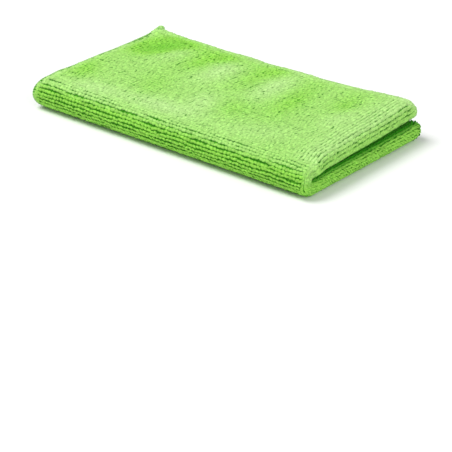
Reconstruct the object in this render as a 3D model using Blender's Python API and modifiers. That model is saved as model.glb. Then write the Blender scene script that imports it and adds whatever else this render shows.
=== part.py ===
"""A microfibre terry cloth, folded in half three times to a pad of eight layers.

The cut cloth has two directions of its own: "along" runs to the pad's closed right end
and back, "across" runs over its depth four times. Fold one halves it across, fold two
halves it along, and fold three halves it across again at the front. Every point of the
flat cloth is carried round the three folds in that order, so the eight layers stay one
sheet. The pad rests on z = 0, its long side runs along X, and its front fold faces -Y.
"""

import bpy
import bmesh
from math import cos, exp, pi, radians, sin
from mathutils import Vector

MM = 0.001

# The cut cloth. Its thickness includes the pile of both faces.
CUT_ALONG = 400 * MM
CUT_ACROSS = 418 * MM
HEM = 8 * MM  # the band at each edge that its overlocked hem stiffens
THICK = 1.8 * MM
PITCH = 2.2 * MM  # from the middle of one layer to the middle of the next

# The folds. Radii are those of the outermost layer's middle.
FOLD_ONE_RADIUS = PITCH / 2
FOLD_THREE_RADIUS = 8.3 * MM
ARM_RISE = 3 * PITCH  # first to last layer of an arm of four, where it lies tight
SLIP = 0.35  # share of the layers' path difference that shows as stagger at their hems
# The run is the length that fold three halves, from fold one's line to the hems.
RUN_LENGTH = CUT_ACROSS / 2 + FOLD_ONE_RADIUS * (1 - pi / 2)

# The closed right end of each arm is a roll that swells away from the front fold.
# Distances run back from the front fold, and heights are outside sizes.
ROLL_COLUMNS = ("behind_front", "lower_height", "upper_height", "upper_setback")
ROLLS = [
    (10 * MM, 8.4 * MM, 8.4 * MM, 0.0 * MM),
    (22 * MM, 8.8 * MM, 10.6 * MM, 0.6 * MM),
    (60 * MM, 9.0 * MM, 11.4 * MM, 1.5 * MM),
    (106 * MM, 9.5 * MM, 12.3 * MM, 2.6 * MM),
]
ROLL_FADE = 36 * MM  # how far a roll's swelling reaches into its arm

# The left hems step in above and below the middle ones, and the top ones also at the back.
HEM_BULGE = 2.6 * MM
HEM_SKEW = 8.4 * MM

# Soft ridges (rise above zero) and troughs (below) of the top, as the layers bed down.
# Each fades out over its two reaches, the long one turned by its heading from the X axis.
SWELL_COLUMNS = ("x", "y", "long_reach", "wide_reach", "heading", "rise")
SWELLS = [
    (-15 * MM, 56 * MM, 70 * MM, 12 * MM, 0, 1.3 * MM),
    (42 * MM, 54 * MM, 34 * MM, 22 * MM, 0, 1.3 * MM),
    (-82 * MM, 55 * MM, 16 * MM, 9 * MM, 0, 1.3 * MM),
    (-76 * MM, 32 * MM, 15 * MM, 10 * MM, 62, -1.5 * MM),
    (-58 * MM, 34 * MM, 18 * MM, 7 * MM, 75, 0.6 * MM),
    (-41 * MM, 31 * MM, 16 * MM, 9 * MM, 85, -1.1 * MM),
    (-21 * MM, 26 * MM, 20 * MM, 9 * MM, 88, 0.9 * MM),
    (-2 * MM, 31 * MM, 20 * MM, 9 * MM, 102, -1.0 * MM),
    (18 * MM, 26 * MM, 22 * MM, 9 * MM, 92, 0.9 * MM),
    (37 * MM, 18 * MM, 26 * MM, 10 * MM, 100, -0.9 * MM),
    (64 * MM, 32 * MM, 14 * MM, 9 * MM, 95, -0.7 * MM),
    (75 * MM, 10 * MM, 18 * MM, 9 * MM, 95, 0.5 * MM),
    (0 * MM, -16 * MM, 14 * MM, 10 * MM, 120, 0.6 * MM),
    (-15 * MM, -35 * MM, 26 * MM, 10 * MM, 0, 0.6 * MM),
    (-63 * MM, -40 * MM, 24 * MM, 10 * MM, 0, 0.5 * MM),
    (-86 * MM, -22 * MM, 16 * MM, 9 * MM, 110, -0.6 * MM),
    (-40 * MM, -13 * MM, 18 * MM, 10 * MM, 110, -0.5 * MM),
    (50 * MM, -30 * MM, 26 * MM, 12 * MM, 20, 0.5 * MM),
]

# The outermost layer's hem corner, at the back left of the top, curls up.
CURL_RISE = 1.6 * MM
CURL_REACH = 7 * MM
CORNER_TUCK = 1.2 * MM  # how far each corner of the cut is drawn in

# Steps of the grid over the cloth.
HEM_STEPS = 2
FLAT_STEPS_ALONG = 14
FLAT_STEPS_ACROSS = 8
FOLD_TWO_STEPS = 8
FOLD_THREE_STEPS = 7
FOLD_ONE_STEPS = 5

CLOTH_COLOUR = (0.34, 0.71, 0.13, 1.0)
CLOTH_ROUGHNESS = 0.95


def clear_scene():
    for obj in list(bpy.data.objects):
        bpy.data.objects.remove(obj, do_unlink=True)


def ease(share):
    """Rise from 0 to 1 with level ends."""
    share = min(max(share, 0.0), 1.0)
    return share * share * (3 - 2 * share)


def roll_value(behind_front, column):
    """Read one column of the roll table, easing between its rows."""
    place = ROLL_COLUMNS.index(column)
    if behind_front <= ROLLS[0][0]:
        return ROLLS[0][place]
    for near, far in zip(ROLLS, ROLLS[1:]):
        if behind_front <= far[0]:
            share = ease((behind_front - near[0]) / (far[0] - near[0]))
            return near[place] + (far[place] - near[place]) * share
    return ROLLS[-1][place]


def path_radius(radius, tight_depth, middle_depth):
    """The radius whose arc a layer uses up: mostly the middle layer's, partly its own."""
    return radius - middle_depth + SLIP * (middle_depth - tight_depth)


def bend(distance, depth, radius, path):
    """Carry a point round a half turn whose outermost layer has this radius.

    distance is measured along the cloth from the fold's middle line, negative before it.
    depth is how far inside the outermost layer the point lies, and path is the radius
    whose arc its layer uses up. The result is how far the point is behind the fold's
    outermost line, and how high, with the arm after the fold lying on top.
    """
    turn = distance / path
    if abs(turn) < pi / 2:
        reach = radius - depth
        return radius - reach * cos(turn), radius + reach * sin(turn)
    behind = radius + abs(distance) - path * pi / 2
    return behind, depth if distance < 0 else 2 * radius - depth


def swell(x, y):
    """How far the top rises or sinks at a place."""
    total = 0.0
    for row in SWELLS:
        here = dict(zip(SWELL_COLUMNS, row))
        turn = radians(here["heading"])
        dx, dy = x - here["x"], y - here["y"]
        long_part = (dx * cos(turn) + dy * sin(turn)) / here["long_reach"]
        wide_part = (dy * cos(turn) - dx * sin(turn)) / here["wide_reach"]
        total += here["rise"] * exp(-(long_part ** 2 + wide_part ** 2))
    return total


def folded_place(along, across):
    """Where a point of the flat cloth lies in the folded pad."""
    # Fold one: two layers, with the fold at one end of the run and two hems at the other.
    run, level = bend(across - CUT_ACROSS / 2, 0.0, FOLD_ONE_RADIUS, FOLD_ONE_RADIUS)
    past_middle = run - RUN_LENGTH / 2
    upper = past_middle > 0
    behind_front = abs(past_middle)

    # Fold two: the closed roll at the right, easing down to four tight layers.
    roll = roll_value(behind_front, "upper_height" if upper else "lower_height") - THICK
    path = path_radius(roll_middle_radius(), level, PITCH / 2)
    inset, rise = bend(along - CUT_ALONG / 2, level, roll / 2, path)
    fade = exp(-(max(inset - roll / 2, 0.0) / ROLL_FADE) ** 2)
    arm_rise = ARM_RISE + (roll - ARM_RISE) * fade
    tight_depth = rise * ARM_RISE / roll
    if inset > roll / 2:
        rise = arm_rise - level if along > CUT_ALONG / 2 else level
        tight_depth = ARM_RISE - level if along > CUT_ALONG / 2 else level
    if upper:
        inset += roll_value(behind_front, "upper_setback")

    # Fold three: the front roll. The swelling of both arms lifts the upper one.
    path = path_radius(FOLD_THREE_RADIUS, tight_depth, ARM_RISE / 2)
    behind, height = bend(past_middle, rise, FOLD_THREE_RADIUS, path)
    lower_roll = roll_value(behind, "lower_height") - THICK
    lift = (lower_roll - ARM_RISE) * fade + arm_rise - ARM_RISE
    if upper and behind > FOLD_THREE_RADIUS:
        height += lift

    share_up = height / (2 * FOLD_THREE_RADIUS + lift)
    share_left = inset / (CUT_ALONG / 2)
    share_back = behind / (RUN_LENGTH / 2)
    step_in = HEM_BULGE * (2 * share_up - 1) ** 2 + HEM_SKEW * share_back * share_up ** 2
    x = CUT_ALONG / 4 - inset + step_in * share_left
    y = behind - RUN_LENGTH / 4
    # The layers bed down together, so a swell is shared out by height.
    height += swell(x, y) * share_up
    return Vector((x, y, height + THICK / 2))


def roll_middle_radius():
    """The radius that stands for all of fold two's arc, halfway between both rolls'."""
    _, lower_height, upper_height, _ = ROLLS[1]
    return (lower_height + upper_height) / 4 - THICK / 2


def even_places(start, end, steps):
    """Even steps from start up to, and without, the end."""
    return [start + (end - start) * step / steps for step in range(steps)]


def grid_places(length, folds, flat_steps):
    """Places over one side of the cloth: close together in its folds, wide between them.

    folds is a list of (middle, half arc length, steps).
    """
    places = even_places(0.0, HEM, HEM_STEPS)
    start = HEM
    for middle, half_arc, steps in folds:
        places += even_places(start, middle - half_arc, flat_steps)
        places += even_places(middle - half_arc, middle + half_arc, steps)
        start = middle + half_arc
    places += even_places(start, length - HEM, flat_steps)
    return places + even_places(length - HEM, length, HEM_STEPS) + [length]


def end_of_side(value, length):
    """Which end of a side a place is at: 1 at its start, -1 at its end, else 0."""
    return (value == 0.0) - (value == length)


def cloth_mesh():
    """A flat grid over the cut cloth, with each of its points carried round the folds."""
    quarter_turn = pi / 2
    fold_one_arc = quarter_turn * FOLD_ONE_RADIUS
    fold_two_arc = quarter_turn * roll_middle_radius()
    fold_three_arc = quarter_turn * path_radius(FOLD_THREE_RADIUS, 0.0, ARM_RISE / 2)
    to_fold_three = RUN_LENGTH / 2 - FOLD_ONE_RADIUS + fold_one_arc
    along_places = grid_places(
        CUT_ALONG, [(CUT_ALONG / 2, fold_two_arc, FOLD_TWO_STEPS)], FLAT_STEPS_ALONG)
    across_places = grid_places(CUT_ACROSS, [
        (CUT_ACROSS / 2 - to_fold_three, fold_three_arc, FOLD_THREE_STEPS),
        (CUT_ACROSS / 2, fold_one_arc, FOLD_ONE_STEPS),
        (CUT_ACROSS / 2 + to_fold_three, fold_three_arc, FOLD_THREE_STEPS),
    ], FLAT_STEPS_ACROSS)

    sheet = bmesh.new()
    bmesh.ops.create_grid(sheet, x_segments=len(along_places) - 1,
                          y_segments=len(across_places) - 1, size=0.5)
    for vert in sheet.verts:
        along = along_places[round((vert.co.x + 0.5) * (len(along_places) - 1))]
        across = across_places[round((vert.co.y + 0.5) * (len(across_places) - 1))]
        along_end = end_of_side(along, CUT_ALONG)
        across_end = end_of_side(across, CUT_ACROSS)
        if along_end and across_end:
            along += along_end * CORNER_TUCK
            across += across_end * CORNER_TUCK
        vert.co = folded_place(along, across)
        # The outermost layer's own corner is where both directions start.
        vert.co.z += CURL_RISE * exp(-(along ** 2 + across ** 2) / CURL_REACH ** 2)
    mesh = bpy.data.meshes.new("cloth")
    sheet.to_mesh(mesh)
    sheet.free()
    return mesh


def cloth_material():
    material = bpy.data.materials.new("terry_green")
    material.use_nodes = True
    shader = material.node_tree.nodes["Principled BSDF"]
    shader.inputs["Base Color"].default_value = CLOTH_COLOUR
    shader.inputs["Roughness"].default_value = CLOTH_ROUGHNESS
    shader.inputs["Metallic"].default_value = 0.0
    return material


def centre_on_box(obj):
    """Slide the mesh so that the middle of the finished body's box is at x = y = 0."""
    bpy.context.view_layer.update()
    finished = obj.evaluated_get(bpy.context.evaluated_depsgraph_get())
    corners = [Vector(corner) for corner in finished.bound_box]
    middle = sum(corners, Vector()) / len(corners)
    for vert in obj.data.vertices:
        vert.co -= Vector((middle.x, middle.y, 0.0))


def build():
    clear_scene()
    collection = bpy.data.collections.new("microfibre_cloth")
    bpy.context.scene.collection.children.link(collection)
    mesh = cloth_mesh()
    mesh.materials.append(cloth_material())
    mesh.shade_smooth()
    cloth = bpy.data.objects.new("cloth", mesh)
    collection.objects.link(cloth)
    body = cloth.modifiers.new("thickness", "SOLIDIFY")
    body.thickness = THICK
    body.offset = 0.0
    centre_on_box(cloth)


build()
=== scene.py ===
import bpy
import bmesh
from math import cos, exp, floor, pi, radians, sin
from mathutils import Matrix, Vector, noise


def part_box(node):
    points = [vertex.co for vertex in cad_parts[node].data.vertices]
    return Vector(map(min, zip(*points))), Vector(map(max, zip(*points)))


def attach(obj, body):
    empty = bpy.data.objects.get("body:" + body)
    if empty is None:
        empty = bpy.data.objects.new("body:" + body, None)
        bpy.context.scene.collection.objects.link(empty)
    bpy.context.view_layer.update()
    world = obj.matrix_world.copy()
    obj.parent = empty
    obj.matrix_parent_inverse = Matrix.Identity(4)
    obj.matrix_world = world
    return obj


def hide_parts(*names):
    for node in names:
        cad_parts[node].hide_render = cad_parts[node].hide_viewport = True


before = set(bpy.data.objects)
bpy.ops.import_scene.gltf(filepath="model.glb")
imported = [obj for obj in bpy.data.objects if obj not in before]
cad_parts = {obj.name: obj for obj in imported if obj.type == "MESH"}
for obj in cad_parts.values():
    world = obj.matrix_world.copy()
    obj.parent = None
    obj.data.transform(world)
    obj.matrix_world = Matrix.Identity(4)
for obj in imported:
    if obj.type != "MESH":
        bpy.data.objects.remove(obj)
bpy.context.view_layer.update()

mm = 0.001
wobbleGap = 7.3               # between the layers of the noise, so that no two are alike


def smooth(share):
    share = min(max(share, 0.0), 1.0)
    return share * share * (3 - 2 * share)


def rising(value, limits):
    # 0 up to the first limit and 1 from the second, or the other way for falling limits
    return smooth((value - limits[0]) / (limits[1] - limits[0]))


def blendBetween(low, high, share):
    return low + (high - low) * share


def evenPlaces(start, end, step):
    count = max(round((end - start) / step), 1)
    return [blendBetween(start, end, index / count) for index in range(count)]


def wobble(u, v, layer, size=1.0):
    # a soft even noise, about -1 to 1, whose bumps are this wide
    return noise.noise(Vector((u / size, v / size, wobbleGap * layer)))


def addNode(tree, kind, sources=None, **settings):
    # sources gives each input a socket to take, or a plain value
    node = tree.nodes.new(kind)
    for name, value in settings.items():
        setattr(node, name, value)
    for key, source in (sources or {}).items():
        if isinstance(source, bpy.types.NodeSocket):
            tree.links.new(source, node.inputs[key])
        else:
            node.inputs[key].default_value = source
    return node


def addObject(name, mesh):
    obj = bpy.data.objects.new(name, mesh)
    bpy.context.scene.collection.objects.link(obj)
    return obj


def calculate(tree, how, first, second=0.0):
    return addNode(tree, "ShaderNodeMath", {0: first, 1: second}, operation=how).outputs[0]


def calculateVectors(tree, how, first, second):
    return addNode(tree, "ShaderNodeVectorMath", {0: first, 1: second}, operation=how).outputs[0]


def scaleVector(tree, vector, amount):
    return addNode(tree, "ShaderNodeVectorMath", {0: vector, "Scale": amount},
                   operation="SCALE").outputs[0]


def pointValue(tree, name, kind="FLOAT_VECTOR"):
    return addNode(tree, "GeometryNodeInputNamedAttribute", {"Name": name},
                   data_type=kind).outputs["Attribute"]


def startTree(name, inputs):
    # nodes that take points, these named inputs and a finish
    tree = bpy.data.node_groups.new(name, "GeometryNodeTree")
    tree.is_modifier = True
    face = tree.interface
    face.new_socket("Geometry", in_out="INPUT", socket_type="NodeSocketGeometry")
    for label, value in inputs:
        kind = "NodeSocketInt" if isinstance(value, int) else "NodeSocketFloat"
        face.new_socket(label, in_out="INPUT", socket_type=kind).default_value = value
    face.new_socket("Finish", in_out="INPUT", socket_type="NodeSocketMaterial")
    face.new_socket("Geometry", in_out="OUTPUT", socket_type="NodeSocketGeometry")
    return tree, tree.nodes.new("NodeGroupInput").outputs


def endTree(tree, made, finish):
    soft = addNode(tree, "GeometryNodeSetShadeSmooth", {"Geometry": made}).outputs[0]
    real = addNode(tree, "GeometryNodeRealizeInstances", {"Geometry": soft}).outputs[0]
    done = addNode(tree, "GeometryNodeSetMaterial", {
        "Geometry": real, "Material": finish}).outputs[0]
    addNode(tree, "NodeGroupOutput", {"Geometry": done})


def runTree(tree, name, places, edges, values, inputs):
    # points with their values go through the nodes and come out as one plain mesh
    mesh = bpy.data.meshes.new(name + "Points")
    mesh.from_pydata(places, edges, [])
    for label, items in values.items():
        if isinstance(items[0], float):
            mesh.attributes.new(label, "FLOAT", "POINT").data.foreach_set("value", items)
        else:
            layer = mesh.attributes.new(label, "FLOAT_VECTOR", "POINT")
            layer.data.foreach_set("vector", [part for item in items for part in item])
    source = addObject(name + "Points", mesh)
    grown = source.modifiers.new(name, "NODES")
    grown.node_group = tree
    for item in tree.interface.items_tree:
        if item.item_type == "SOCKET" and item.in_out == "INPUT" and item.name in inputs:
            grown[item.identifier] = inputs[item.name]
    evaluated = source.evaluated_get(bpy.context.evaluated_depsgraph_get())
    plain = bpy.data.meshes.new_from_object(evaluated)
    plain.name = name
    bpy.data.objects.remove(source, do_unlink=True)
    return addObject(name, plain)


cloth = {
    "cutAlong": 400 * mm,
    "cutAcross": 418 * mm,
    "outsideThick": 1.8 * mm,     # knit and pile together
    "knitThick": 1.1 * mm,
    "layerPitch": 2.2 * mm,
    "frontRollRadius": 8.3 * mm,  # of the outermost layer's middle
    "layerSlip": 0.35,            # how much of the layers' path difference shows at the hems
    "rollReach": 36 * mm,         # how far the right roll's swelling reaches into an arm
    "hemBulge": 2.6 * mm,
    "hemSkew": 8.4 * mm,
    "curlRise": 1.6 * mm,
    "curlReach": 7 * mm,
    "unevenness": 0.22 * mm,      # of any roll, in a slow wave and a quicker one
    "slowWave": 26 * mm,
    "quickWave": 9 * mm,
    "quickShare": 0.6,
    "liesFlat": (3 * mm, 11 * mm),  # heights between which that unevenness sets in
    "hemBand": 8 * mm,
    "hemStep": 1.0 * mm,          # steps of the sheet's grid
    "flatStep": 2.6 * mm,
    "foldStep": 0.8 * mm,
    "foldOneSteps": 5,
    "probeStep": 0.25 * mm,       # how far apart two places are compared for a direction
}

# The closed right end: how far behind the front fold, then outside heights of the lower
# and upper roll, and how far the upper one is set back.
rollColumns = ("behind", "lowerHeight", "upperHeight", "upperSetback")
rollRows = [
    (10 * mm, 8.4 * mm, 8.4 * mm, 0.0 * mm),
    (22 * mm, 8.8 * mm, 10.6 * mm, 0.6 * mm),
    (60 * mm, 9.0 * mm, 11.4 * mm, 1.5 * mm),
    (106 * mm, 9.5 * mm, 12.3 * mm, 2.6 * mm),
]

# Soft ridges and troughs of the top. Each fades out over its two reaches, and the long one is
# turned by its heading. Its last column paints a highlight on a ridge and painted shade in a
# trough, also on some patches without a rise.
creaseColumns = ("x", "y", "longReach", "wideReach", "heading", "rise", "paintedLight")
creaseRows = [
    (-15 * mm, 56 * mm, 70 * mm, 12 * mm, 0, 1.3 * mm, 0.0),
    (42 * mm, 54 * mm, 34 * mm, 22 * mm, 0, 1.3 * mm, 0.0),
    (-82 * mm, 55 * mm, 16 * mm, 9 * mm, 0, 1.3 * mm, 0.0),
    (-76 * mm, 32 * mm, 15 * mm, 10 * mm, 62, -1.5 * mm, -1.2),
    (-58 * mm, 34 * mm, 18 * mm, 7 * mm, 75, 0.6 * mm, 0.3),
    (-41 * mm, 31 * mm, 16 * mm, 9 * mm, 85, -1.1 * mm, -0.4),
    (-21 * mm, 26 * mm, 20 * mm, 9 * mm, 88, 0.9 * mm, 0.5),
    (-2 * mm, 31 * mm, 20 * mm, 9 * mm, 102, -1.0 * mm, -0.3),
    (18 * mm, 26 * mm, 22 * mm, 9 * mm, 92, 0.9 * mm, 0.5),
    (37 * mm, 18 * mm, 26 * mm, 10 * mm, 100, -0.9 * mm, -0.4),
    (64 * mm, 32 * mm, 14 * mm, 9 * mm, 95, -0.7 * mm, -0.2),
    (75 * mm, 10 * mm, 18 * mm, 9 * mm, 95, 0.5 * mm, 0.3),
    (0 * mm, -16 * mm, 14 * mm, 10 * mm, 120, 0.6 * mm, 0.4),
    (-15 * mm, -35 * mm, 26 * mm, 10 * mm, 0, 0.6 * mm, 0.5),
    (-63 * mm, -40 * mm, 24 * mm, 10 * mm, 0, 0.5 * mm, 0.4),
    (-86 * mm, -22 * mm, 16 * mm, 9 * mm, 110, -0.6 * mm, -0.4),
    (-40 * mm, -13 * mm, 18 * mm, 10 * mm, 110, -0.5 * mm, -0.2),
    (50 * mm, -30 * mm, 26 * mm, 12 * mm, 20, 0.5 * mm, 0.2),
    (-62 * mm, 42 * mm, 14 * mm, 9 * mm, 20, 0.0 * mm, -0.7),
    (-27 * mm, 42 * mm, 12 * mm, 8 * mm, 0, 0.0 * mm, -0.5),
    (7 * mm, 44 * mm, 10 * mm, 9 * mm, 0, 0.0 * mm, -0.4),
    (70 * mm, 24 * mm, 12 * mm, 7 * mm, 95, 0.0 * mm, -0.3),
    (18 * mm, -10 * mm, 12 * mm, 12 * mm, 0, 0.0 * mm, -0.3),
]

foldOneRadius = cloth["layerPitch"] / 2
armRise = 3 * cloth["layerPitch"]   # from the lowest of an arm's four layers to the highest
# from fold one to the cut edge, then the right rolls' mean radius at the second row
runLength = cloth["cutAcross"] / 2 + foldOneRadius * (1 - pi / 2)
rollMiddleRadius = (rollRows[1][1] + rollRows[1][2]) / 4 - cloth["outsideThick"] / 2


def rollValue(behind, column):
    place = rollColumns.index(column)
    if behind <= rollRows[0][0]:
        return rollRows[0][place]
    for near, far in zip(rollRows, rollRows[1:]):
        if behind <= far[0]:
            share = smooth((behind - near[0]) / (far[0] - near[0]))
            return blendBetween(near[place], far[place], share)
    return rollRows[-1][place]


def pathRadius(radius, tightDepth, middleDepth):
    # each layer uses up the middle one's arc, and as much of its own as slips
    return radius - middleDepth + cloth["layerSlip"] * (middleDepth - tightDepth)


def bend(distance, depth, radius, path):
    # carry a point round a half turn: how far behind the fold it comes, and how high
    turn = distance / path
    if abs(turn) < pi / 2:
        return radius - (radius - depth) * cos(turn), radius + (radius - depth) * sin(turn)
    behind = radius + abs(distance) - path * pi / 2
    return behind, depth if distance < 0 else 2 * radius - depth


def creaseSum(x, y, column):
    total = 0.0
    place = creaseColumns.index(column)
    for row in creaseRows:
        turn = radians(row[4])
        dx, dy = x - row[0], y - row[1]
        longPart = (dx * cos(turn) + dy * sin(turn)) / row[2]
        widePart = (dy * cos(turn) - dx * sin(turn)) / row[3]
        total += row[place] * exp(-(longPart ** 2 + widePart ** 2))
    return total


def foldedPlace(u, v):
    # fold one halves the cloth across, with two layers from there on
    run, level = bend(v - cloth["cutAcross"] / 2, 0.0, foldOneRadius, foldOneRadius)
    pastMiddle = run - runLength / 2
    upper = pastMiddle > 0

    # fold two halves it along, and its closed end swells to a roll
    column = "upperHeight" if upper else "lowerHeight"
    roll = rollValue(abs(pastMiddle), column) - cloth["outsideThick"]
    path = pathRadius(rollMiddleRadius, level, cloth["layerPitch"] / 2)
    inset, rise = bend(u - cloth["cutAlong"] / 2, level, roll / 2, path)
    fade = exp(-(max(inset - roll / 2, 0.0) / cloth["rollReach"]) ** 2)
    risen = armRise + (roll - armRise) * fade
    tightDepth = rise * armRise / roll
    if inset > roll / 2:
        onTop = u > cloth["cutAlong"] / 2
        rise = risen - level if onTop else level
        tightDepth = armRise - level if onTop else level
    if upper:
        inset += rollValue(abs(pastMiddle), "upperSetback")

    # fold three halves it across again, round the front roll
    radius = cloth["frontRollRadius"]
    behind, height = bend(pastMiddle, rise, radius, pathRadius(radius, tightDepth, armRise / 2))
    lowerRoll = rollValue(behind, "lowerHeight") - cloth["outsideThick"]
    lift = (lowerRoll - armRise) * fade + risen - armRise
    if upper and behind > radius:
        height += lift

    # the hems bulge and lean in, the top creases, and the cut's corner curls up
    shareUp = height / (2 * radius + lift)
    shareLeft = inset / (cloth["cutAlong"] / 2)
    shareBack = behind / (runLength / 2)
    stepIn = cloth["hemBulge"] * (2 * shareUp - 1) ** 2
    stepIn += cloth["hemSkew"] * shareBack * shareUp ** 2
    x = cloth["cutAlong"] / 4 - inset + stepIn * shareLeft
    y = behind - runLength / 4
    height += creaseSum(x, y, "rise") * shareUp
    height += cloth["curlRise"] * exp(-(u ** 2 + v ** 2) / cloth["curlReach"] ** 2)
    return Vector((x, y, height + cloth["outsideThick"] / 2))


def liftUneven(u, v, place):
    # no roll is quite even: two waves, which die out where the pad lies on the surface
    lift = wobble(u, v, 1, cloth["slowWave"])
    lift += cloth["quickShare"] * wobble(u, v, 2, cloth["quickWave"])
    return cloth["unevenness"] * lift * rising(place.z, cloth["liesFlat"])


def findSlide():
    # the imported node's box is centred and this fold isn't quite, so it slides there; its
    # extremes are in the middle of the rolls and at the hems' corners
    nodeLow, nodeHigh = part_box("cloth")
    half = cloth["outsideThick"] / 2
    uPlaces = evenPlaces(0.0, cloth["cutAlong"], cloth["flatStep"])
    vPlaces = evenPlaces(0.0, cloth["cutAcross"], cloth["flatStep"]) + [cloth["cutAcross"]]
    lowX = min(foldedPlace(0.0, v).x for v in vPlaces)
    highX = max(foldedPlace(cloth["cutAlong"] / 2, v).x for v in vPlaces) + half
    lowY = min(foldedPlace(u, cloth["cutAcross"] / 4).y for u in uPlaces) - half
    middleX = (nodeLow[0] + nodeHigh[0]) / 2 - (lowX + highX) / 2
    return Vector((middleX, nodeLow[1] - lowY, 0.0))


slide = findSlide()
print("folds set out, slid by", [round(part / mm, 2) for part in slide], "mm")


def clothPlace(u, v):
    return foldedPlace(u, v) + slide


def clothFrame(u, v):
    # the place, the direction out of the face, and the directions of u and v there
    step = cloth["probeStep"]
    place = clothPlace(u, v)
    alongWay = (clothPlace(u + step, v) - clothPlace(u - step, v)).normalized()
    acrossWay = (clothPlace(u, v + step) - clothPlace(u, v - step)).normalized()
    outward = acrossWay.cross(alongWay).normalized()
    return place + outward * liftUneven(u, v, place), outward, alongWay, acrossWay


terry = {
    # from tip to root these colours darken: painted shade deep in the pile
    "rootColour": (0.022, 0.185, 0.003, 1),
    "bodyColour": (0.115, 0.460, 0.022, 1),
    "tipColour": (0.300, 0.680, 0.085, 1),
    "paleColour": (0.525, 0.780, 0.325, 1),
    # painted shade of the pile in the gap
    "gapShadeColour": (0.018, 0.270, 0.001, 1),
    "sheenTint": (0.62, 1.0, 0.36, 1),
    "roughness": 0.9,
    "specular": 0.08,
    "sheenWeight": 0.20,
    "sheenRoughness": 0.5,
    "rootToBody": (0.45, 0.75),   # heights up a tuft, as a share, where a colour gives way
    "bodyToTip": (0.60, 0.92),
    "palest": 0.80,               # the most that painted light turns a tuft to the pale colour
    "deepest": 0.60,              # and that painted shade turns it to the body's
    "gapDeepest": 0.95,           # and that the gap's pile turns to its painted shade colour
    "tuftTones": (0.93, 1.06),    # between the darkest tuft and the lightest
    "spotTones": (0.74, 1.16),    # and spot of a tuft
    "spotSize": 1.0 * mm,
    "spotStretch": 0.45,          # the spots are drawn out along the columns
    "spotRange": (0.3, 0.7),      # of their noise
    "fibreSize": 0.38 * mm,
    "fibreBump": (0.35, 0.25 * mm),  # how strong and how deep
    "waleWidth": 2.4 * mm,        # of the knit ground
    "courseHeight": 2.2 * mm,
    "stitchStray": 0.35,
    "stitchReach": 0.6,           # how far a stitch's paler middle reaches, as a share
    "stitchBump": (0.8, 0.5 * mm),
    "threadRoughness": 0.6,
    "plySize": 0.67 * mm,
    "plyRange": (0.3, 0.6),       # of their noise
    "plyBump": (0.4, 0.15 * mm),
}


def finishShader(name, roughness):
    material = bpy.data.materials.new(name)
    material.use_nodes = True
    tree = material.node_tree
    shader = tree.nodes["Principled BSDF"]
    shader.inputs["Roughness"].default_value = roughness
    shader.inputs["Sheen Weight"].default_value = terry["sheenWeight"]
    shader.inputs["Sheen Roughness"].default_value = terry["sheenRoughness"]
    shader.inputs["Sheen Tint"].default_value = terry["sheenTint"]
    shader.inputs["Specular IOR Level"].default_value = terry["specular"]
    return material, tree, shader


def mixColours(tree, share, first, second, how="MIX"):
    # the node's colours are its inputs 6 and 7 and its output 2
    return addNode(tree, "ShaderNodeMix", {0: share, 6: first, 7: second},
                   data_type="RGBA", blend_type=how).outputs[2]


def spread(tree, value, limits, newLimits=(0.0, 1.0)):
    node = addNode(tree, "ShaderNodeMapRange", {
        "Value": value, "From Min": limits[0], "From Max": limits[1],
        "To Min": newLimits[0], "To Max": newLimits[1]})
    return node.outputs["Result"]


def readValue(tree, name):
    return addNode(tree, "ShaderNodeAttribute", attribute_name=name).outputs["Fac"]


def addBump(tree, shader, height, size):
    bump = addNode(tree, "ShaderNodeBump", {
        "Height": height, "Strength": size[0], "Distance": size[1]})
    tree.links.new(bump.outputs["Normal"], shader.inputs["Normal"])


def terryMaterial():
    # painted shade: each tuft is coloured darker at its root and lighter at its tip, so the
    # grooves between the tufts show painted shade, and painted light and shade change whole
    # patches
    material, tree, shader = finishShader("terryPile", terry["roughness"])
    tip, paintedLight = readValue(tree, "tuftTip"), readValue(tree, "paintedLight")
    colour = mixColours(tree, spread(tree, tip, terry["rootToBody"]), terry["rootColour"],
                        terry["bodyColour"])
    colour = mixColours(tree, spread(tree, tip, terry["bodyToTip"]), colour, terry["tipColour"])
    # painted highlight toward the pale colour, and painted shade back to the body colour
    colour = mixColours(tree, spread(tree, paintedLight, (0.0, 1.0), (0.0, terry["palest"])), colour,
                        terry["paleColour"])
    colour = mixColours(tree, spread(tree, paintedLight, (0.0, -1.0), (0.0, terry["deepest"])), colour,
                        terry["bodyColour"])

    # no two tufts are quite one shade, nor is one tuft all over
    where = addNode(tree, "ShaderNodeTexCoord").outputs["Object"]
    drawnOut = addNode(tree, "ShaderNodeMapping", {
        "Vector": where, "Scale": (1.0, terry["spotStretch"], 1.0)}).outputs["Vector"]
    spots = addNode(tree, "ShaderNodeTexNoise", {
        "Vector": drawnOut, "Scale": 1 / terry["spotSize"]}).outputs["Fac"]
    tuftShade = spread(tree, readValue(tree, "tuftTone"), (0.0, 1.0), terry["tuftTones"])
    spotShade = spread(tree, spots, terry["spotRange"], terry["spotTones"])
    shade = calculate(tree, "MULTIPLY", tuftShade, spotShade)
    colour = mixColours(tree, 1.0, colour, shade, "MULTIPLY")
    # painted shade in the gap between the right rolls, where little light reaches
    deep = spread(tree, readValue(tree, "gapShade"), (0.0, 1.0), (0.0, terry["gapDeepest"]))
    colour = mixColours(tree, deep, colour, terry["gapShadeColour"])
    tree.links.new(colour, shader.inputs["Base Color"])

    fibres = addNode(tree, "ShaderNodeTexNoise", {
        "Vector": where, "Scale": 1 / terry["fibreSize"]}).outputs["Fac"]
    addBump(tree, shader, fibres, terry["fibreBump"])
    return material


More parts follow.
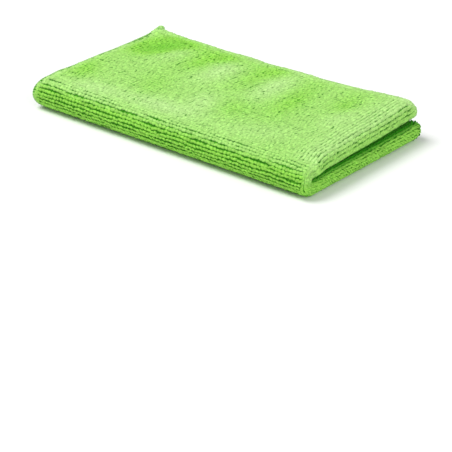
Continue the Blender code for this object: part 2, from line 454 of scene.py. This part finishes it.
def knitMaterial():
    # the ground between the tufts: courses and wales of the knit, in the root's dark colour as
    # painted shade at the bottom of the pile
    material, tree, shader = finishShader("knitGround", terry["roughness"])
    flat = addNode(tree, "ShaderNodeUVMap", uv_map="clothFlat").outputs["UV"]
    counts = (cloth["cutAlong"] / terry["waleWidth"], cloth["cutAcross"] / terry["courseHeight"])
    scaled = addNode(tree, "ShaderNodeMapping", {"Vector": flat, "Scale": (*counts, 1.0)})
    cells = addNode(tree, "ShaderNodeTexVoronoi", {
        "Vector": scaled.outputs["Vector"], "Scale": 1.0,
        "Randomness": terry["stitchStray"]})
    nearness = spread(tree, cells.outputs["Distance"], (0.0, terry["stitchReach"]), (1.0, 0.0))
    colour = mixColours(tree, nearness, terry["rootColour"], terry["bodyColour"])
    tree.links.new(colour, shader.inputs["Base Color"])
    addBump(tree, shader, nearness, terry["stitchBump"])
    return material


def threadMaterial():
    # overlock thread: a smooth dyed polyester with its two plies showing as fine bands
    material, tree, shader = finishShader("hemThread", terry["threadRoughness"])
    where = addNode(tree, "ShaderNodeTexCoord").outputs["Object"]
    plies = addNode(tree, "ShaderNodeTexNoise", {
        "Vector": where, "Scale": 1 / terry["plySize"]}).outputs["Fac"]
    colour = mixColours(tree, spread(tree, plies, terry["plyRange"]), terry["bodyColour"],
                        terry["paleColour"])
    tree.links.new(colour, shader.inputs["Base Color"])
    addBump(tree, shader, plies, terry["plyBump"])
    return material


pileFinish = terryMaterial()
groundFinish = knitMaterial()
threadFinish = threadMaterial()
print("finishes mixed")


def sheetPlaces(length, folds):
    # folds is a list of (middle, half its arc, step)
    places = evenPlaces(0.0, cloth["hemBand"], cloth["hemStep"])
    start = cloth["hemBand"]
    for middle, halfArc, step in folds:
        places += evenPlaces(start, middle - halfArc, cloth["flatStep"])
        places += evenPlaces(middle - halfArc, middle + halfArc, step)
        start = middle + halfArc
    places += evenPlaces(start, length - cloth["hemBand"], cloth["flatStep"])
    return places + evenPlaces(length - cloth["hemBand"], length, cloth["hemStep"]) + [length]


foldOneArc = pi / 2 * foldOneRadius
foldTwoArc = pi / 2 * rollMiddleRadius
foldThreeArc = pi / 2 * pathRadius(cloth["frontRollRadius"], 0.0, armRise / 2)
toFoldThree = runLength / 2 - foldOneRadius + foldOneArc


def knitSheet():
    half = cloth["cutAcross"] / 2
    uPlaces = sheetPlaces(cloth["cutAlong"],
                          [(cloth["cutAlong"] / 2, foldTwoArc, cloth["foldStep"])])
    vPlaces = sheetPlaces(cloth["cutAcross"], [
        (half - toFoldThree, foldThreeArc, cloth["foldStep"]),
        (half, foldOneArc, foldOneArc / cloth["foldOneSteps"]),
        (half + toFoldThree, foldThreeArc, cloth["foldStep"])])
    mesh = bpy.data.meshes.new("knitSheet")
    build = bmesh.new()
    flat = build.loops.layers.uv.new("clothFlat")
    rows = []
    for v in vPlaces:
        row = []
        for u in uPlaces:
            row.append(build.verts.new(clothFrame(u, v)[0]))
        rows.append(row)
    for j in range(len(vPlaces) - 1):
        for i in range(len(uPlaces) - 1):
            # wound so that the face's side is the front of each polygon
            corners = [(i, j), (i, j + 1), (i + 1, j + 1), (i + 1, j)]
            polygon = build.faces.new([rows[b][a] for a, b in corners])
            for loop, (a, b) in zip(polygon.loops, corners):
                loop[flat].uv = (uPlaces[a] / cloth["cutAlong"], vPlaces[b] / cloth["cutAcross"])
    build.to_mesh(mesh)
    build.free()
    mesh.materials.append(groundFinish)
    mesh.shade_smooth()
    sheet = addObject("knitSheet", mesh)
    body = sheet.modifiers.new("knit", "SOLIDIFY")
    body.thickness = cloth["knitThick"]
    body.offset = 0.0
    return sheet


knit = knitSheet()
print("knit sheet laid:", len(knit.data.polygons), "faces")


pile = {
    "columnPitch": 2.3 * mm,
    "rowPitch": 2.05 * mm,
    "frontPitch": 2.2 * mm,   # the rows part round the front roll
    "jitter": 0.24,           # of one tuft, as a share of the pitch
    "waver": 0.24,            # of a whole column, as a share of the pitch
    "rowWaver": 0.44,         # and of a whole row
    "steadied": 0.5,          # how much less the first two are where rows part
    "farStep": 3.7,           # between neighbours that stray unlike each other
    "nearStep": 0.15,         # and between those that waver alike
    "foldUse": 0.65,          # share of the outer surface's length that is cloth, round a fold
    "flatSpread": 0.71,       # half a tuft's width as a share of its pitch, where it lies flat
    "flatLength": 0.94,       # and half its length, along its column
    "pressedSpread": 0.95,    # both of them where it is held down
    "upperSpread": 0.54,      # across the top of a roll, where the rows part
    "lowerSpread": 0.44,      # and across its underside and in the gap
    "rightParting": 0.03,     # less on the right rolls, whose columns part further
    "frontLength": 0.80,      # half its length along the front roll
    "rightLength": 1.10,      # and along the right rolls
    "pressedLoose": 0.3,      # how freely it leans where it is held down, as a share
    "leastParting": 0.05,     # of the columns, below which they keep their pitch
    "gapReach": 30 * mm,      # how far past the right nose the columns go into the gap
    "rollMargin": 4 * mm,     # how far onto the top the rolls' pieces of the pile go
    "gapMargin": 16 * mm,     # and into the gap
    "hemMargin": 1.0 * mm,    # from the cut edges to the first tufts' lines
    "overEdge": 0.5 * mm,     # how far a tuft may pass the cut edge
    "noseShift": 1.0 * mm,    # how far the first tuft is above the right roll's nose
    "flatHeight": 0.42 * mm,
    "rollHeight": 0.74 * mm,
    "pressedHeight": 0.26 * mm,  # on the underside, in the gap, at the right nose and at hems
    "rightFade": 11 * mm,     # how far in from the right rolls the columns still part
    "topHighlight": 0.44,         # painted sheen: the top is painted paler than the front roll
    # painted highlight on the right rolls where they face up
    "rightRollsHighlight": 0.34,
    "noseHighlight": 0.34,        # painted highlight at the right rolls' nose
    "lowerRollHighlightShare": 0.1,          # share of the last two painted highlights that the lower right roll gets, so it shows darker
    # how much paler the tufts are along the hems
    "hemPaleness": 0.30,
    "shape": (8, 5),          # a tuft's segments and rings
    "hiddenShape": (6, 4),    # the same on the underside and at the back
    "lumpSize": 0.9 * mm,
    "lumpDepth": 0.72 * mm,   # from the noise's deepest to its highest
    "lumpDetail": 1.0,
    "sizeSpread": 0.16,
    "yawSpread": 0.40,
    "tiltSpread": 0.16,
    "seed": 5,
}


# Where the pile stands otherwise than on the flat: each pair is where that starts and where
# it is full. Distances are over the cut cloth, and past is past the end of a fold's arc.
zone = {
    "rowsPitch": (6 * mm, 0.0),           # past the front roll, the rows' wider pitch
    "rowsPart": (4 * mm, -2.4 * mm),      # past the front roll
    "rowsEnd": (2.2 * mm, 4.7 * mm),      # from the right nose, at the corner
    "underPad": (6.4 * mm, 2.0 * mm),     # height over the surface
    "inGap": (0.0, 3 * mm),               # past the right rolls
    "noseRight": (0.3, 0.6),              # how far the face looks right at the right nose
    "noseUp": (-0.25, -0.5),              # and how far up
    "cornerPast": (4 * mm, -2 * mm),      # past the front roll
    "cornerWide": (2.6 * mm, 1.4 * mm),   # from the right nose
    "hemWide": (5 * mm, 1.5 * mm),        # from the cut edge
    "topHeight": (12 * mm, 16 * mm),
    "topUp": (0.4, 0.9),                  # how far the face looks up on the top, where its painted sheen lies
    "sideUp": (-0.8, 0.2),                # and on the right rolls
    "upperArm": (6 * mm, 13 * mm),        # heights from the lower right roll to the upper
    "intoGap": (2.0 * mm, 0.0),           # from the right nose
    "gapShade": (2.2 * mm, 5.2 * mm),     # from the right nose
}


def pileTree():
    tree, given = startTree("pileTufts", (
        ("Segments", pile["shape"][0]),
        ("Rings", pile["shape"][1]),
        ("Size Spread", pile["sizeSpread"]),
        ("Yaw Spread", pile["yawSpread"]),
        ("Tilt Spread", pile["tiltSpread"]),
        ("Lump Size", pile["lumpSize"]),
        ("Lump Depth", pile["lumpDepth"]),
        ("Seed", pile["seed"])))

    # one tuft: a ball whose height from root to tip is kept for the colour
    ball = addNode(tree, "GeometryNodeMeshUVSphere", {
        "Radius": 1.0, "Segments": given["Segments"], "Rings": given["Rings"]}).outputs["Mesh"]
    ballPlace = tree.nodes.new("GeometryNodeInputPosition").outputs[0]
    height = addNode(tree, "ShaderNodeSeparateXYZ", {0: ballPlace}).outputs["Z"]
    tuft = addNode(tree, "GeometryNodeStoreNamedAttribute", {
        "Geometry": ball, "Name": "tuftTip", "Value": spread(tree, height, (-1.0, 1.0))},
        data_type="FLOAT", domain="POINT").outputs["Geometry"]

    # it stands on the face, turned to its row and leant a little at random
    def randomValue(kind, shift):
        seed = calculate(tree, "ADD", given["Seed"], float(shift))
        return addNode(tree, "FunctionNodeRandomValue", {"Seed": seed}, data_type=kind)

    def randomVector(shift):
        node = randomValue("FLOAT_VECTOR", shift)
        node.inputs[0].default_value = (-1, -1, -1)
        node.inputs[1].default_value = (1, 1, 1)
        return node.outputs[0]

    stance = addNode(tree, "FunctionNodeAxesToRotation", {
        "Primary Axis": pointValue(tree, "outward"),
        "Secondary Axis": pointValue(tree, "rowWay")},
        primary_axis="Z", secondary_axis="X").outputs[0]
    loose = pointValue(tree, "looseness", "FLOAT")
    tilt = calculate(tree, "MULTIPLY", given["Tilt Spread"], loose)
    lean = addNode(tree, "ShaderNodeCombineXYZ", {
        "X": tilt, "Y": tilt, "Z": given["Yaw Spread"]}).outputs[0]
    turn = calculateVectors(tree, "MULTIPLY", randomVector(1), lean)
    turned = addNode(tree, "FunctionNodeRotateRotation", {
        "Rotation": stance,
        "Rotate By": addNode(tree, "FunctionNodeEulerToRotation", {"Euler": turn}).outputs[0]},
        rotation_space="LOCAL").outputs[0]
    change = scaleVector(tree, randomVector(2), given["Size Spread"])
    factor = calculateVectors(tree, "ADD", change, (1, 1, 1))
    stood = addNode(tree, "GeometryNodeInstanceOnPoints", {
        "Points": given["Geometry"], "Instance": tuft, "Rotation": turned,
        "Scale": calculateVectors(tree, "MULTIPLY", pointValue(tree, "tuftSize"), factor)})
    toned = addNode(tree, "GeometryNodeStoreNamedAttribute", {
        "Geometry": stood.outputs[0], "Name": "tuftTone",
        "Value": randomValue("FLOAT", 3).outputs[1]},
        data_type="FLOAT", domain="INSTANCE").outputs["Geometry"]
    real = addNode(tree, "GeometryNodeRealizeInstances", {"Geometry": toned}).outputs[0]

    # its loops make it lumpy, by a noise whose middle is half
    realPlace = tree.nodes.new("GeometryNodeInputPosition").outputs[0]
    lumps = addNode(tree, "ShaderNodeTexNoise", {
        "Vector": realPlace, "Scale": calculate(tree, "DIVIDE", 1.0, given["Lump Size"]),
        "Detail": pile["lumpDetail"]}).outputs["Color"]
    centred = calculateVectors(tree, "SUBTRACT", lumps, (0.5, 0.5, 0.5))
    depth = calculate(tree, "MULTIPLY", given["Lump Depth"], loose)
    lumpy = addNode(tree, "GeometryNodeSetPosition", {
        "Geometry": real, "Offset": scaleVector(tree, centred, depth)}).outputs[0]
    endTree(tree, lumpy, given["Finish"])
    return tree


tuftTree = pileTree()


frontV = cloth["cutAcross"] / 2 - toFoldThree   # where v rounds the front roll's nose
rightU = cloth["cutAlong"] / 2                  # where u rounds the right rolls' nose


def outerPlace(u, v):
    place, outward, _, _ = clothFrame(u, v)
    return place + outward * (cloth["outsideThick"] / 2)


def pastFront(v):
    return abs(v - frontV) - foldThreeArc


def latticeLines(placeAt, stop, anchor, pitchAt):
    # values from 0 to stop that lie one pitch apart over the outer surface, one at anchor
    step = cloth["probeStep"]
    values = [index * step for index in range(round(stop / step) + 1)]
    counts = [0.0]
    for before, after in zip(values, values[1:]):
        walked = (placeAt(after) - placeAt(before)).length
        counts.append(counts[-1] + walked / pitchAt((before + after) / 2))
    atAnchor = counts[min(round(anchor / step), len(counts) - 1)]
    lines = []
    for index in range(1, len(values)):
        low, high = counts[index - 1] - atAnchor, counts[index] - atAnchor
        if floor(high) > floor(low):
            lines.append(blendBetween(values[index - 1], values[index],
                                      (floor(high) - low) / (high - low)))
    return lines


def rowPitchAt(v):
    return blendBetween(pile["rowPitch"], pile["frontPitch"],
                        rising(pastFront(v), zone["rowsPitch"]))


rowLines = latticeLines(lambda v: outerPlace(rightU / 2, v), cloth["cutAcross"] / 2,
                        frontV, rowPitchAt)
columnLines = latticeLines(lambda u: outerPlace(u, frontV / 2), rightU + pile["gapReach"],
                           rightU - pile["noseShift"], lambda u: pile["columnPitch"])
print("pile lattice:", len(rowLines), "rows of", len(columnLines), "tufts")


def columnPitchAt(i, v, byRight):
    # a thinner roll has its columns nearer together
    if byRight < pile["leastParting"] or not 0 < i < len(columnLines) - 1:
        return pile["columnPitch"]
    return (outerPlace(columnLines[i + 1], v) - outerPlace(columnLines[i - 1], v)).length / 2


def partingShares(u, v):
    # how much the rows part here, by the front roll as far as its corner, else by the right
    fromRight = abs(u - rightU)
    byFront = rising(pastFront(v), zone["rowsPart"]) * rising(fromRight, zone["rowsEnd"])
    pastRoll = max(fromRight - foldTwoArc, 0.0) / pile["rightFade"]
    return byFront, exp(-pastRoll ** 2) * (1 - byFront)


def strayedPlace(i, j, byFront, byRight):
    # each tuft strays from its lines, each line wavers, and each starts at its own place
    far, near = pile["farStep"], pile["nearStep"]
    jitter, waver, steadied = pile["jitter"], pile["waver"], pile["steadied"]
    shiftU = wobble(i * far, j * far, 3) * jitter
    shiftU += wobble(i * far, j * near, 5) * waver * (1 - steadied * (byFront + byRight))
    shiftU += wobble(far, j * far, 7) * (1 - byRight)
    shiftV = wobble(i * far, j * far, 4) * jitter * (1 - steadied * byRight)
    shiftV += wobble(i * near, j * far, 6) * pile["rowWaver"] * (1 - byRight)
    shiftV += wobble(i * far, far, 8) * byRight
    # round a fold the outer layer uses less cloth than the surface that it covers
    shiftU *= pile["columnPitch"] * blendBetween(1.0, pile["foldUse"], byRight)
    shiftV *= pile["rowPitch"] * blendBetween(1.0, pile["foldUse"], byFront)
    return (max(columnLines[i] + shiftU, pile["overEdge"]),
            max(rowLines[j] + shiftV, pile["overEdge"]))


def heldShares(u, v, place, outward):
    # where the pile is held down: under the pad and in its gap, at the right nose, at the hems
    flattened = max(rising(place.z, zone["underPad"]),
                    rising(u - rightU - foldTwoArc, zone["inGap"]))
    atNose = rising(outward.x, zone["noseRight"]) * rising(outward.z, zone["noseUp"])
    atCorner = rising(pastFront(v), zone["cornerPast"])
    atCorner *= rising(abs(u - rightU), zone["cornerWide"])
    return flattened, max(atNose, atCorner), rising(min(u, v), zone["hemWide"])


def tuftSize(i, u, v, outward, parting, held):
    # half its width, half its length and its height
    byFront, byRight = parting
    flattened, atNose, atHem = held
    facesUp = smooth(outward.z) * rising(u - rightU, zone["intoGap"])
    parted = blendBetween(pile["lowerSpread"], pile["upperSpread"], facesUp)
    parted -= pile["rightParting"] * byRight
    halfU = blendBetween(pile["flatSpread"], pile["frontLength"], byFront)
    halfU = blendBetween(halfU, parted, byRight)
    halfV = blendBetween(pile["flatLength"], parted, byFront)
    halfV = blendBetween(halfV, pile["rightLength"], byRight)
    tall = blendBetween(pile["flatHeight"], pile["rollHeight"], max(byFront, byRight))
    closed = max(atNose, atHem, flattened * byFront)
    halfU = blendBetween(halfU, pile["pressedSpread"], closed) * columnPitchAt(i, v, byRight)
    halfV = blendBetween(halfV, pile["pressedSpread"], closed) * rowPitchAt(v)
    tall = blendBetween(tall, pile["pressedHeight"], max(flattened, closed))
    # at a cut edge a tuft ends with the cloth
    return min(halfU, u + pile["overEdge"]), min(halfV, v + pile["overEdge"]), tall


def tuftPaintedLight(place, outward, byRight, held):
    # painted light: a painted sheen on the top, painted highlights and shade over its ridges and
    # troughs, painted highlights on the right rolls and their nose, less on the lower roll, and a
    # paler band along the hems
    onTop = rising(place.z, zone["topHeight"]) * rising(outward.z, zone["topUp"])
    paintedLight = creaseSum(place.x - slide.x, place.y - slide.y, "paintedLight") + pile["topHighlight"]
    _, atNose, atHem = held
    paler = max(pile["rightRollsHighlight"] * byRight * rising(outward.z, zone["sideUp"]),
                pile["noseHighlight"] * atNose)
    paler *= blendBetween(pile["lowerRollHighlightShare"], 1.0, rising(place.z, zone["upperArm"]))
    return paintedLight * onTop + paler + pile["hemPaleness"] * atHem


tuftValues = ("place", "outward", "rowWay", "tuftSize", "paintedLight", "gapShade", "looseness")


def addTuft(tufts, *values):
    for name, value in zip(tuftValues, values):
        tufts[name].append(value)


def pilePiece(name, uRange, vRange, shape=pile["shape"]):
    # tufts stand in rows and columns over this part of the cut cloth
    tufts = {value: [] for value in tuftValues}
    for j, lineV in enumerate(rowLines):
        if not vRange[0] <= lineV < vRange[1]:
            continue
        for i, lineU in enumerate(columnLines):
            if not uRange[0] <= lineU < uRange[1]:
                continue
            parting = partingShares(lineU, lineV)
            u, v = strayedPlace(i, j, *parting)
            place, outward, alongWay, _ = clothFrame(u, v)
            held = heldShares(u, v, place, outward)
            addTuft(tufts, place + outward * (cloth["knitThick"] / 2), outward, alongWay,
                    tuftSize(i, u, v, outward, parting, held),
                    tuftPaintedLight(place, outward, parting[1], held),
                    rising(u - rightU, zone["gapShade"]),   # little light reaches the gap
                    blendBetween(1.0, pile["pressedLoose"], max(held[1:])))
    return tuftObject(name, shape, tufts)


def tuftObject(name, shape, tufts):
    places = tufts.pop("place")
    piece = runTree(tuftTree, name, places, [], tufts,
                    {"Segments": shape[0], "Rings": shape[1], "Finish": pileFinish})
    print(name, "stood:", len(places), "tufts,", len(piece.data.polygons), "faces")
    return piece


backEdge = {
    "rows": (-1, 0, 1),
    "rowSpacing": 0.62,       # as a share of fold one's quarter turn
    "rowShift": 0.25,         # of each row from the last, as a share of the pitch
    "spread": 0.75,           # half a tuft's width as a share of the pitch
    "halfDepth": 0.9 * mm,
    "sunk": 0.1 * mm,
    "clear": 3 * mm,          # how far the underside's pile stays from fold one's middle
}


def backEdgePile():
    # fold one shows at the back of the lower arm as two thin rolls, with three rows on each
    tufts = {value: [] for value in tuftValues}
    size = (backEdge["spread"] * pile["columnPitch"], backEdge["halfDepth"], pile["flatHeight"])
    for row in backEdge["rows"]:
        v = cloth["cutAcross"] / 2 + row * backEdge["rowSpacing"] * foldOneArc
        for i in range(floor(cloth["cutAlong"] / pile["columnPitch"])):
            stray = wobble(i * pile["farStep"], row * pile["farStep"], 9) * pile["jitter"]
            u = (i + 0.5 + row * backEdge["rowShift"] + stray) * pile["columnPitch"]
            if abs(u - rightU) < foldTwoArc:
                continue
            place, outward, alongWay, _ = clothFrame(u, v)
            addTuft(tufts, place + outward * (cloth["knitThick"] / 2 - backEdge["sunk"]),
                    outward, alongWay, size, 0.0, 0.0, 1.0)
    return tuftObject("pileBackEdge", pile["hiddenShape"], tufts)


# lines on the cut cloth where one piece of the pile meets the next
topEnd, lowStart = frontV - foldThreeArc - pile["rollMargin"], frontV + foldThreeArc
rightStart = rightU - foldTwoArc - pile["rollMargin"]
rightEnd = rightU + foldTwoArc + pile["gapMargin"]
hemIn, lowEnd = pile["hemMargin"], cloth["cutAcross"] / 2
pilePieces = [
    pilePiece("pileTopLeft", (hemIn, rightStart / 2), (hemIn, topEnd)),
    pilePiece("pileTopRight", (rightStart / 2, rightStart), (hemIn, topEnd)),
    pilePiece("pileFrontRoll", (hemIn, rightStart), (topEnd, lowStart)),
    pilePiece("pileRightRolls", (rightStart, rightEnd), (hemIn, lowEnd)),
    pilePiece("pileUnderside", (hemIn, rightStart), (lowStart, lowEnd - backEdge["clear"]),
              pile["hiddenShape"]),
    backEdgePile(),
]


hem = {
    "stitchPitch": 1.5 * mm,
    "bite": 2.6 * mm,         # how far the stitches reach in from the cut edge
    "rimOut": 0.35 * mm,      # and how far out past it
    "halfThick": 0.78 * mm,   # of the winding
    "threadRadius": 0.24 * mm,
    "stepsATurn": 9,
    "slant": 0.35,            # how far the face's stitches lean along the edge, as a share
    "pathStep": 0.8 * mm,
    "threadSides": 5,
}


def overlockTree():
    # a thread wound round and round the cut edge, like the loops of an overlocker
    tree, given = startTree("overlock", (
        ("Stitch Pitch", hem["stitchPitch"]),
        ("Bite", hem["bite"]),
        ("Rim Out", hem["rimOut"]),
        ("Half Thickness", hem["halfThick"]),
        ("Thread Radius", hem["threadRadius"]),
        ("Slant", hem["slant"]),
        ("Steps A Turn", hem["stepsATurn"])))

    path = addNode(tree, "GeometryNodeMeshToCurve", {0: given["Geometry"]}).outputs[0]
    stepLength = calculate(tree, "DIVIDE", given["Stitch Pitch"], given["Steps A Turn"])
    resample = addNode(tree, "GeometryNodeResampleCurve", {
        "Curve": path, "Length": stepLength}, mode="LENGTH").outputs[0]
    index = tree.nodes.new("GeometryNodeInputIndex").outputs[0]
    turns = calculate(tree, "DIVIDE", index, given["Steps A Turn"])
    angle = calculate(tree, "MULTIPLY", turns, 2 * pi)
    cosine, sine = calculate(tree, "COSINE", angle), calculate(tree, "SINE", angle)
    wide = calculate(tree, "ADD", given["Bite"], given["Rim Out"])
    halfWide = calculate(tree, "MULTIPLY", wide, 0.5)
    inward = calculate(tree, "ADD", calculate(tree, "SUBTRACT", halfWide, given["Rim Out"]),
                       calculate(tree, "MULTIPLY", cosine, halfWide))
    outward = calculate(tree, "MULTIPLY", sine, given["Half Thickness"])
    lean = calculate(tree, "MULTIPLY", calculate(tree, "MULTIPLY", cosine, sine),
                     calculate(tree, "MULTIPLY", given["Stitch Pitch"], given["Slant"]))
    shift = (0.0, 0.0, 0.0)
    for name, amount in (("inward", inward), ("outward", outward), ("edgeWay", lean)):
        way = addNode(tree, "ShaderNodeVectorMath", {0: pointValue(tree, name)},
                      operation="NORMALIZE").outputs[0]
        shift = calculateVectors(tree, "ADD", scaleVector(tree, way, amount), shift)
    wound = addNode(tree, "GeometryNodeSetPosition", {
        "Geometry": resample, "Offset": shift}).outputs[0]
    section = addNode(tree, "GeometryNodeCurvePrimitiveCircle", {
        "Resolution": hem["threadSides"], "Radius": given["Thread Radius"]}).outputs[0]
    thread = addNode(tree, "GeometryNodeCurveToMesh", {
        "Curve": wound, "Profile Curve": section}).outputs[0]
    endTree(tree, thread, given["Finish"])
    return tree


def hemPiece():
    # one closed path round the cut, with the directions that the thread needs at each point
    along, across, step = cloth["cutAlong"], cloth["cutAcross"], hem["pathStep"]
    path = [(u, 0.0, 0, 1) for u in evenPlaces(0.0, along, step)]
    path += [(along, v, -1, 0) for v in evenPlaces(0.0, across, step)]
    path += [(u, across, 0, -1) for u in evenPlaces(along, 0.0, -step)]
    path += [(0.0, v, 1, 0) for v in evenPlaces(across, 0.0, -step)]
    places, ways = [], {"outward": [], "inward": [], "edgeWay": []}
    for u, v, inU, inV in path:
        place, outward, alongWay, acrossWay = clothFrame(u, v)
        if u in (0.0, along) and v in (0.0, across):    # a corner faces both ways
            inU, inV = 1 if u == 0.0 else -1, 1 if v == 0.0 else -1
        inward = (alongWay * inU + acrossWay * inV).normalized()
        places.append(place)
        ways["outward"].append(outward)
        ways["inward"].append(inward)
        ways["edgeWay"].append(outward.cross(inward))
    edges = [(index, (index + 1) % len(places)) for index in range(len(places))]
    piece = runTree(overlockTree(), "overlockedHem", places, edges, ways,
                    {"Finish": threadFinish})
    print("hem overlocked:", len(piece.data.polygons), "faces")
    return piece


hemThread = hemPiece()

cornerKnot = {
    "turns": 6.5,
    "radius": 1.35 * mm,      # of the winding at its middle
    "length": 4.0 * mm,
    "threadRadius": 0.42 * mm,
    "inAlong": 2.6 * mm,      # how far in from the corner its middle is, either way
    "inAcross": 0.4 * mm,
    "lift": 0.5 * mm,
    "backward": 0.8,          # how far it points back for each step that it points right
    "stepsATurn": 18,
    "threadSides": 7,
}


def knotTree():
    # the end of the overlock thread, wound up and drawn tight at the cloth's corner
    tree, given = startTree("cornerKnot", (
        ("Turns", cornerKnot["turns"]),
        ("Radius", cornerKnot["radius"]),
        ("Length", cornerKnot["length"]),
        ("Thread Radius", cornerKnot["threadRadius"])))
    coil = addNode(tree, "GeometryNodeCurveSpiral", {
        "Resolution": cornerKnot["stepsATurn"], "Rotations": given["Turns"],
        "Start Radius": given["Radius"], "End Radius": given["Radius"],
        "Height": given["Length"]}).outputs[0]

    # the winding closes in to a point at both its ends
    along = tree.nodes.new("GeometryNodeSplineParameter").outputs["Factor"]
    fromMiddle = spread(tree, along, (0.0, 1.0), (-1.0, 1.0))
    squared = calculate(tree, "MULTIPLY", fromMiddle, fromMiddle)
    girth = calculate(tree, "POWER", calculate(tree, "SUBTRACT", 1.0, squared), 0.5)
    taper = addNode(tree, "ShaderNodeCombineXYZ", {"X": girth, "Y": girth, "Z": 1.0}).outputs[0]
    coilPlace = tree.nodes.new("GeometryNodeInputPosition").outputs[0]
    knotted = addNode(tree, "GeometryNodeSetPosition", {
        "Geometry": coil,
        "Position": calculateVectors(tree, "MULTIPLY", coilPlace, taper)}).outputs[0]
    section = addNode(tree, "GeometryNodeCurvePrimitiveCircle", {
        "Resolution": cornerKnot["threadSides"], "Radius": given["Thread Radius"]}).outputs[0]
    thread = addNode(tree, "GeometryNodeCurveToMesh", {
        "Curve": knotted, "Profile Curve": section, "Fill Caps": True}).outputs[0]
    stance = addNode(tree, "FunctionNodeAxesToRotation", {
        "Primary Axis": pointValue(tree, "coilWay"),
        "Secondary Axis": pointValue(tree, "outward")},
        primary_axis="Z", secondary_axis="X").outputs[0]
    stood = addNode(tree, "GeometryNodeInstanceOnPoints", {
        "Points": given["Geometry"], "Instance": thread, "Rotation": stance}).outputs[0]
    endTree(tree, stood, given["Finish"])
    return tree


def knotPiece():
    place, outward, alongWay, acrossWay = clothFrame(cornerKnot["inAlong"],
                                                     cornerKnot["inAcross"])
    coilWay = (alongWay - acrossWay * cornerKnot["backward"]).normalized()
    start = place + outward * cornerKnot["lift"] - coilWay * cornerKnot["length"] / 2
    return runTree(knotTree(), "cornerKnot", [start], [],
                   {"coilWay": [coilWay], "outward": [outward]}, {"Finish": threadFinish})


hemKnot = knotPiece()
print("corner knotted:", len(hemKnot.data.polygons), "faces")


stageLook = {
    "floorColour": (0.92, 0.92, 0.92, 1),
    "floorHalf": 4.0,         # metres either way
    "floorRoughness": 0.8,
    "airColour": (1, 1, 1, 1),
    "airStrength": 0.43,
    "keyPlace": (-0.7, -0.45, 1.6),
    "keySize": 0.9,
    "keyPower": 25.5,
    "fillPlace": (1.7, -0.30, 0.9),
    "fillSize": 1.2,
    "fillPower": 14.0,
}


def pointAt(obj, target):
    obj.rotation_mode = "QUATERNION"
    obj.rotation_quaternion = (target - obj.location).to_track_quat("-Z", "Y")


def softLight(kind):
    lamp = bpy.data.lights.new(kind + "Light", "AREA")
    lamp.shape = "SQUARE"
    lamp.size = stageLook[kind + "Size"]
    lamp.energy = stageLook[kind + "Power"]
    obj = addObject(kind + "Light", lamp)
    obj.location = stageLook[kind + "Place"]
    pointAt(obj, Vector((0, 0, 0)))


def makeStage():
    mesh = bpy.data.meshes.new("studioFloor")
    far = stageLook["floorHalf"]
    mesh.from_pydata([(-far, -far, 0), (far, -far, 0), (far, far, 0), (-far, far, 0)], [],
                     [(0, 1, 2, 3)])
    floorFinish = bpy.data.materials.new("paleFloor")
    floorFinish.use_nodes = True
    shader = floorFinish.node_tree.nodes["Principled BSDF"]
    shader.inputs["Base Color"].default_value = stageLook["floorColour"]
    shader.inputs["Roughness"].default_value = stageLook["floorRoughness"]
    mesh.materials.append(floorFinish)
    addObject("studioFloor", mesh)

    world = bpy.data.worlds.new("studioAir")
    world.use_nodes = True
    air = world.node_tree.nodes["Background"]
    air.inputs["Color"].default_value = stageLook["airColour"]
    air.inputs["Strength"].default_value = stageLook["airStrength"]
    bpy.context.scene.world = world
    softLight("key")
    softLight("fill")
    bpy.context.scene.view_settings.view_transform = "Standard"


photoCamera = {
    "azimuth": 39.52,         # degrees round from the front towards the right
    "elevation": 26.13,
    "place": (0.8320, -1.0068, 0.5755),
    "focalPixels": 2500,      # a long lens, far off
    "framePixels": 452,
    "sensorWidth": 36.0,
    "nearest": 0.05,
    "farthest": 20.0,
}


def makeCamera():
    azimuth, elevation = radians(photoCamera["azimuth"]), radians(photoCamera["elevation"])
    lens = bpy.data.cameras.new("photoCamera")
    lens.sensor_width = photoCamera["sensorWidth"]
    lens.lens = photoCamera["focalPixels"] / photoCamera["framePixels"] * lens.sensor_width
    lens.clip_start, lens.clip_end = photoCamera["nearest"], photoCamera["farthest"]
    camera = addObject("photoCamera", lens)
    back = Vector((sin(azimuth) * cos(elevation), -cos(azimuth) * cos(elevation), sin(elevation)))
    camera.location = photoCamera["place"]
    camera.rotation_mode = "QUATERNION"
    camera.rotation_quaternion = (-back).to_track_quat("-Z", "Y")
    bpy.context.scene.camera = camera


makeStage()
makeCamera()
print("stage, light and camera set")


def restOnSurface(piece):
    # the pad lies on its surface, so nothing of it goes through
    count = len(piece.data.vertices)
    flatList = [0.0] * (3 * count)
    piece.data.vertices.foreach_get("co", flatList)
    for index in range(2, 3 * count, 3):
        if flatList[index] < 0.0:
            flatList[index] = 0.0
    piece.data.vertices.foreach_set("co", flatList)
    piece.data.update()


extras = pilePieces + [hemThread, hemKnot]
for piece in extras:
    restOnSurface(piece)
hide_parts("cloth")
for piece in [knit] + extras:
    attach(piece, "root")
